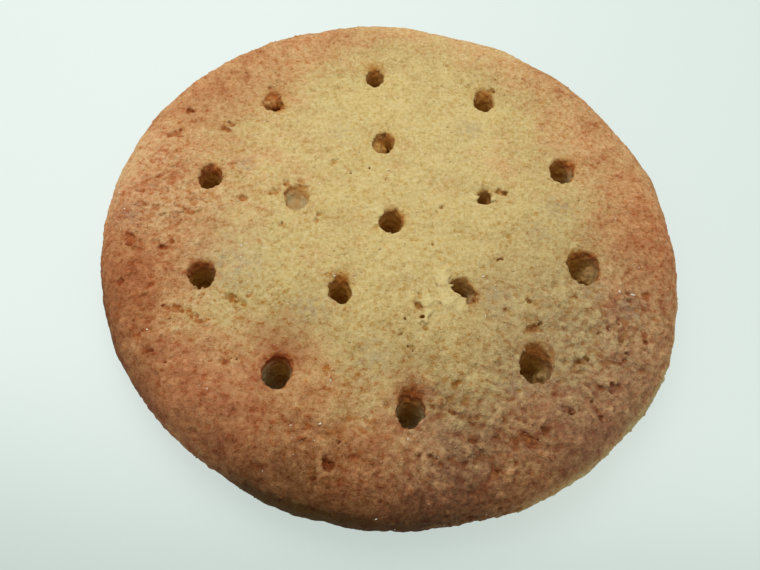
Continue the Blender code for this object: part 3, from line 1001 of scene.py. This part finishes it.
def make_crumbs(dough, points, quads):
    """Loose crumbs, thickest on rough crust and on the slopes drawn back from the hole lips."""
    rng = np.random.default_rng(SEED + 1)

    def weigh(middle):
        x, y, z = middle.T
        pit = dough.sample(dough.skin, middle)
        wanted = 0.5 + 1.2 * rough_share(x, y) + 3.0 * dough.marked("smear", x, y)
        return open_skin(z) * wanted * (np.abs(pit) < 0.7)

    spots, normals = scatter_places(points, quads, rng, CRUMB_COUNT, weigh)
    size = 0.07 + 0.09 * rng.random((CRUMB_COUNT, 1)) ** 2
    sizes = size * rng.uniform((0.8, 0.7, 0.5), (1.8, 1.1, 0.9), (CRUMB_COUNT, 3))
    crumbs = scatter("crumbs", rng, spots, normals, sizes, 0.25)
    crumbs.data.shade_smooth()
    note_looks(dough, crumbs)
    pale = 0.6 * rng.random(CRUMB_COUNT) ** 2 * np.clip(1.0 - browning(spots), 0.0, 1.0)
    note(crumbs, "pale", np.repeat(pale, len(crumbs.data.vertices) // CRUMB_COUNT))
    return crumbs


def make_sugar(dough, points, quads):
    """The grains that were seen, and then smaller ones at random places."""
    rng = np.random.default_rng(SEED + 2)

    def weigh(middle):
        pit = dough.sample(dough.skin, middle)
        return open_skin(middle[:, 2]) * (np.abs(pit) < 0.4)

    spots, normals = scatter_places(points, quads, rng, SUGAR_COUNT, weigh)
    height = top_surface(dough)
    seen = np.array([(x, y, height(x, y)) for x, y in SUGAR_SPOTS])
    spots = np.concatenate([seen, spots])
    normals = np.concatenate([np.tile(UP, (len(seen), 1)), normals])
    size = [rng.uniform(0.11, 0.18, len(seen)), rng.uniform(0.05, 0.11, SUGAR_COUNT)]
    size = np.concatenate(size)
    size[:LARGE_GRAINS] = LARGE_GRAIN_SIZE
    sizes = size[:, None] * rng.uniform((0.8, 0.4, 0.4), (1.6, 0.7, 0.6), (len(spots), 3))
    return scatter("sugar_grains", rng, spots, normals, sizes, 0.15)


class Wire:
    """A value in a material. Arithmetic on it adds Math nodes."""

    def __init__(self, bench, socket):
        self.bench = bench
        self.socket = socket

    def __add__(self, other):
        return self.bench.maths("ADD", self, other)

    def __sub__(self, other):
        return self.bench.maths("SUBTRACT", self, other)

    def __rsub__(self, other):
        return self.bench.maths("SUBTRACT", other, self)

    def __mul__(self, other):
        return self.bench.maths("MULTIPLY", self, other)

    __radd__ = __add__
    __rmul__ = __mul__


class Bench:
    """A material or a world being made, with the shader that it ends in."""

    def __init__(self, owner, shader):
        owner.use_nodes = True
        self.owner = owner
        self.tree = owner.node_tree
        self.shader = self.tree.nodes[shader]

    def feed(self, node, sockets):
        """Sets a node's sockets to values, or links them."""
        for name, value in sockets.items():
            if isinstance(value, Wire):
                self.tree.links.new(value.socket, node.inputs[name])
            else:
                node.inputs[name].default_value = value

    def node(self, kind, settings, sockets, out=0):
        """Adds a node: first its settings, then its sockets' values or links."""
        made = self.tree.nodes.new(kind)
        for name, value in settings.items():
            if name == "stops":
                ramp = made.color_ramp
                while len(ramp.elements) < len(value):
                    ramp.elements.new(1.0)
                for element, (place, colour) in zip(ramp.elements, value):
                    element.position = place
                    element.color = (*colour, 1.0)
            else:
                setattr(made, name, value)
        self.feed(made, sockets)
        return Wire(self, made.outputs[out])

    def maths(self, operation, *values):
        return self.node("ShaderNodeMath", {"operation": operation}, dict(enumerate(values)))

    def vectors(self, operation, first, second, out=0):
        settings = {"operation": operation}
        return self.node("ShaderNodeVectorMath", settings, {0: first, 1: second}, out)

    def mix(self, share, first, second, blend="MIX"):
        settings = {"data_type": "RGBA", "blend_type": blend}
        colours = [c if isinstance(c, Wire) else (*c, 1.0) for c in (first, second)]
        return self.node("ShaderNodeMix", settings, {0: share, 6: colours[0], 7: colours[1]}, 2)

    def step(self, low, high, value):
        """0 below low, 1 above high and a smooth rise between them."""
        settings = {"interpolation_type": "SMOOTHSTEP"}
        sockets = {"Value": value, "From Min": low, "From Max": high}
        return self.node("ShaderNodeMapRange", settings, sockets)

    def ramp(self, stops, share):
        return self.node("ShaderNodeValToRGB", {"stops": stops}, {"Fac": share})

    def noted(self, name):
        """A value that note() has written at each point."""
        return self.node("ShaderNodeAttribute", {"attribute_name": name}, {}, 2)

    def place(self):
        return self.node("ShaderNodeTexCoord", {}, {}, 3)

    def lumps(self, place, size, detail, roughness, stretch=1.0):
        """Noise about 0 whose lumps are about a size in mm, drawn out in X by the stretch."""
        place = self.vectors("MULTIPLY", place, (1.0 / stretch, 1.0, 1.0))
        sockets = {"Vector": place, "Scale": 1.0 / (size * MM), "Detail": detail,
                   "Roughness": roughness}
        return self.node("ShaderNodeTexNoise", {}, sockets) - 0.5


def material_bench(name, sockets):
    bench = Bench(bpy.data.materials.new(name), "Principled BSDF")
    bench.feed(bench.shader, sockets)
    return bench


def crust_finish():
    """Straw to russet by the bake, with flecks, specks, painted light and shade and whatever else
    was noted.
    """
    bench = material_bench("crust", {"Roughness": 0.78, "Specular IOR Level": 0.09})
    step, lumps, noted = bench.step, bench.lumps, bench.noted
    place = bench.place()
    cloud = lumps(place, 6.0, 2.0, 0.6, 1.2)
    drift = lumps(place, 4.5, 2.0, 0.6, 1.2)
    blotch = lumps(place, 2.6, 1.0, 0.6, 1.3)
    mottle = lumps(place, 1.0, 1.0, 0.6)
    grit = lumps(place, 0.8, 4.0, 0.80)
    sand = lumps(place, 0.45, 3.0, 0.8)
    browned_and_shaded, lively, rough, pit = noted("browning"), noted("lively"), noted("rough"), noted("pit")
    flecks = 2.4 * grit + 0.5 * mottle + 0.4 * blotch
    # Dark flecks, and painted shade where the crust lies in hollows below its smooth skin
    dark = (0.2 + lively) * (1.2 * step(0.04, 0.60, flecks) + 0.7 * step(0.0, 0.2, pit))
    # Pale flecks, and a painted highlight on crumb raised above the smooth skin
    crest = step(0.05, 0.55, -1.0 * flecks) + step(0.02, 0.16, -1.0 * pit)
    tone = browned_and_shaded + 0.5 * cloud + 0.4 * blotch + 0.25 * mottle + (0.3 + 0.8 * rough) * sand
    tone = (tone - (0.16 * lively + 0.06 * rough) * crest) * (1.0 / DARKEST)
    crusts = []
    for column, fleck_and_shade in ((1, STRAW_FLECK_AND_SHADE), (2, RUSSET_FLECK_AND_SHADE)):
        colour = bench.ramp([(bake[0] / DARKEST, bake[column]) for bake in BAKES], tone)
        crusts.append(bench.mix(dark, colour, fleck_and_shade, "MULTIPLY"))
    red = noted("ruddy") + 0.6 * blotch + drift + 0.7 * mottle
    colour = bench.mix(0.95 * step(-0.05, 1.1, red), *crusts)
    specks = step(0.07, 0.26, lumps(place, 0.8, 3.0, 0.7) + 0.20 * (lively - 0.5))
    grain = step(0.04, 0.18, -1.0 * sand) * step(0.0, 0.7, 0.7 - browned_and_shaded)
    grey = noted("bran") * step(-0.10, 0.12, lumps(place, 0.7, 3.0, 0.6))
    layers = (
        (step(0.8, 1.8, red), ROSY, "MULTIPLY"),
        (0.5 * specks, SPECK, "MULTIPLY"),
        (0.8 * step(-0.03, 0.20, sand), DUST, "MULTIPLY"),
        (0.45 * grain, GRAIN, "MIX"),
        (noted("bloom"), BLOOM, "MIX"),
        (0.42 * grey, BRAN, "MIX"),
        # Painted shade on the slopes drawn back from the hole lips
        (noted("smear"), LIP_SHADE_TINT, "MULTIPLY"),
        # Painted shade in sunk places
        (0.7 * step(0.06, 0.40, pit), SUNK_SHADE, "MULTIPLY"),
        # Painted shade deep in holes and pores
        (0.9 * step(0.4, 2.6, pit), DEEP_SHADE, "MIX"),
        # Painted light on hole walls that face the light, partly pale crumb
        (0.8 * noted("bare"), LIT_BARE_CRUMB, "MIX"),
        (noted("pale"), PALE_CRUMB, "MIX"),
        (0.6 * noted("plate"), PLATE, "MIX"),
    )
    for share, layer, blend in layers:
        colour = bench.mix(share, colour, layer, blend)
    height = 0.5 * mottle + (0.3 + lively + rough) * (sand + grit + 1.0)
    sockets = {"Strength": 0.6, "Distance": 0.0004, "Height": height}
    bump = bench.node("ShaderNodeBump", {}, sockets)
    bench.feed(bench.shader, {"Base Color": colour, "Normal": bump})
    return bench.owner


def sugar_finish():
    return material_bench("sugar", {"Roughness": 0.22, "Base Color": SUGAR}).owner


def floor_finish():
    """A plain pale floor with painted shade to the near side, and a painted glow that hides most
    shadow.
    """
    bench = material_bench("floor", {"Roughness": 0.6, "Emission Strength": 1.0})
    place = {"Vector": bench.place()}
    # Painted shade: darker towards the near side and, a little, towards the right
    falls = [
        share * bench.step(start, end, bench.node("ShaderNodeSeparateXYZ", {}, place, axis))
        for axis, start, end, share in FLOOR_SHADE_FALLS
    ]
    for socket, share in FLOOR_SHARES.items():
        pale, dim = ([share * part for part in colour] for colour in (FLOOR_PALE, FLOOR_PAINTED_SHADE))
        bench.feed(bench.shader, {socket: bench.mix(falls[0] + falls[1], pale, dim)})
    return bench.owner


def make_floor():
    bpy.ops.mesh.primitive_plane_add(size=FLOOR_SIZE, location=(0.0, 0.0, FLOOR_HEIGHT))
    floor = bpy.context.object
    floor.name = "floor"
    floor.data.materials.append(floor_finish())


def make_studio():
    """A pale room, brightest over the far left, and a broad soft lamp there."""
    bench = Bench(bpy.data.worlds.new("studio"), "Background")
    bpy.context.scene.world = bench.owner
    towards = bench.node("ShaderNodeTexCoord", {}, {})
    bright = Vector(SKY_BRIGHTEST).normalized()
    share = bench.vectors("DOT_PRODUCT", towards, bright, 1)
    share = bench.node("ShaderNodeMapRange", {}, {"Value": share, "From Min": SKY_DARKEST_FROM})
    sky = bench.ramp(((0.0, SKY_DARK), (1.0, SKY_PALE)), share)
    bench.feed(bench.shader, {"Strength": SKY_STRENGTH, "Color": sky})
    light = bpy.data.lights.new("lamp", "AREA")
    light.shape = "DISK"
    light.size = LAMP_SIZE
    light.energy = LAMP_POWER
    light.color = LAMP_COLOUR
    lamp = add_object("lamp", light)
    lamp.location = LAMP_PLACE
    lamp.rotation_euler = (-Vector(LAMP_PLACE)).to_track_quat("-Z", "Y").to_euler()


def make_camera():
    """The camera of the photo, as it was fitted to the outline and the holes."""
    data = bpy.data.cameras.new("camera")
    data.sensor_width = SENSOR_WIDTH
    data.lens = FOCAL_PIXELS / IMAGE_WIDTH * SENSOR_WIDTH
    data.clip_start = CLIP_START
    camera = add_object("camera", data)
    tilt, roll = math.radians(90.0 - CAMERA_ELEVATION), math.radians(CAMERA_ROLL)
    turn = Matrix.Rotation(tilt, 4, "X") @ Matrix.Rotation(roll, 4, "Z")
    place = (Vector(CAMERA_TARGET) + CAMERA_DISTANCE * turn.col[2].xyz) * MM
    camera.matrix_world = Matrix.Translation(place) @ turn
    bpy.context.scene.camera = camera


def fit_piece(piece, finish):
    """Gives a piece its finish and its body."""
    piece.data.materials.append(finish)
    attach(piece, "root")


make_camera()
dough = make_dough()
skin_points, skin_quads = draw_skin(dough.depth, dough.axes)
crust = make_crust(dough, skin_points, skin_quads)
crumbs = make_crumbs(dough, skin_points, skin_quads)
sugar = make_sugar(dough, skin_points, skin_quads)
finish = crust_finish()
fit_piece(crust, finish)
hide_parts("cracker")
fit_piece(crumbs, finish)
fit_piece(sugar, sugar_finish())
make_floor()
make_studio()
bpy.context.scene.view_settings.view_transform = "Standard"
